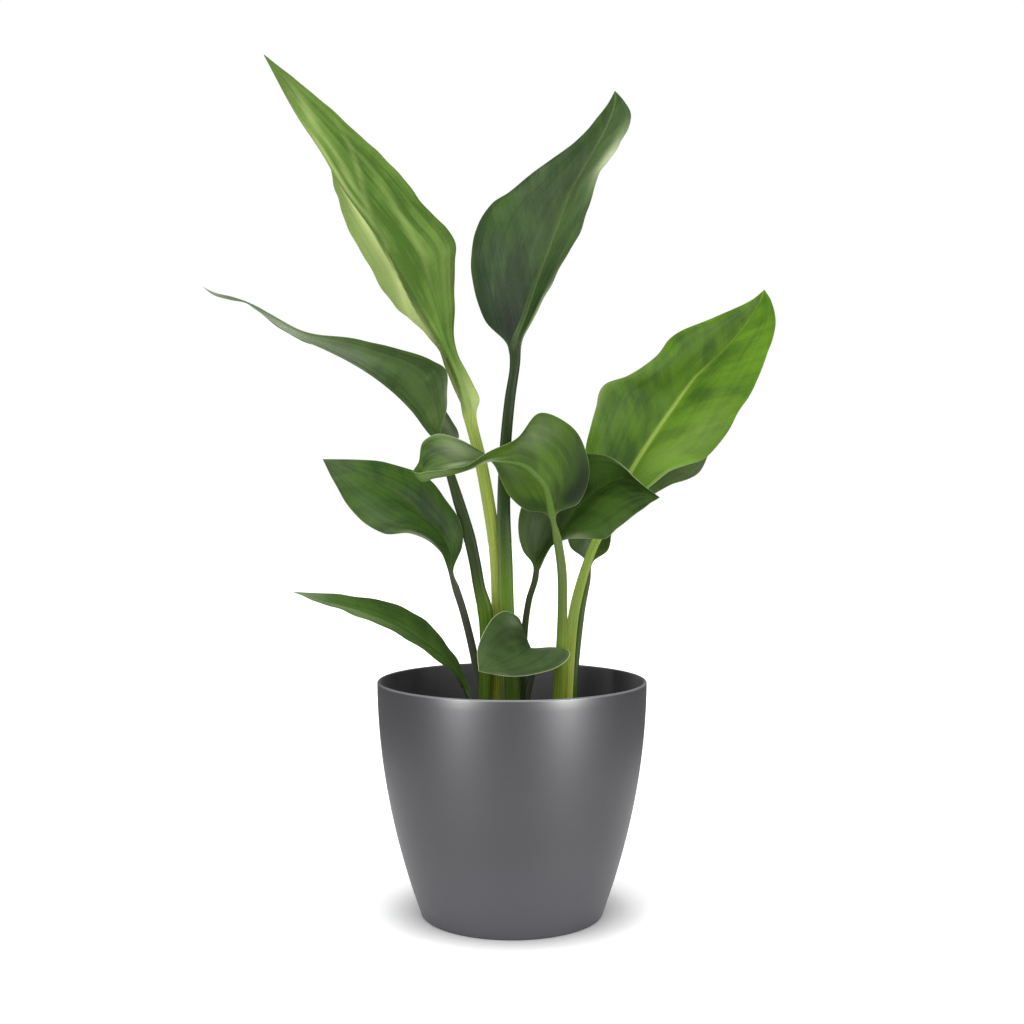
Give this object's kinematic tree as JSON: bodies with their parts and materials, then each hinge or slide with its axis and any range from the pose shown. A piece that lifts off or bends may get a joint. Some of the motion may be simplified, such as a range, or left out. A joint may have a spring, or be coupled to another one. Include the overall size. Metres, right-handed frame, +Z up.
{
  "type": "potted bird of paradise plant",
  "caption": "Young bird of paradise plant with broad pointed leaves on long stalks, standing in soil in a round tapered plant pot.",
  "frame": {"origin": "centre of the pot's underside, on the surface that it stands on", "axes": "+Z up along the pot's axis, -Y towards the front, +X to the right as seen from the front"},
  "size_m": [0.3946, 0.18, 0.5801],
  "materials": {
    "pot_plastic": "satin",
    "potting_soil": "rough",
    "leaf_bright": "satin",
    "leaf_dark": "satin"
  },
  "bodies": {
    "root": {"pot": "pot_plastic", "soil": "potting_soil", "tall_left_leaf": "leaf_bright", "tall_right_leaf": "leaf_dark", "right_leaf": "leaf_bright", "curled_leaf": "leaf_dark", "broad_middle_leaf": "leaf_dark", "back_right_leaf": "leaf_dark", "arching_left_leaf": "leaf_dark", "mid_left_leaf": "leaf_dark", "low_left_leaf": "leaf_dark", "front_small_leaf": "leaf_dark"}
  },
  "joints": []
}
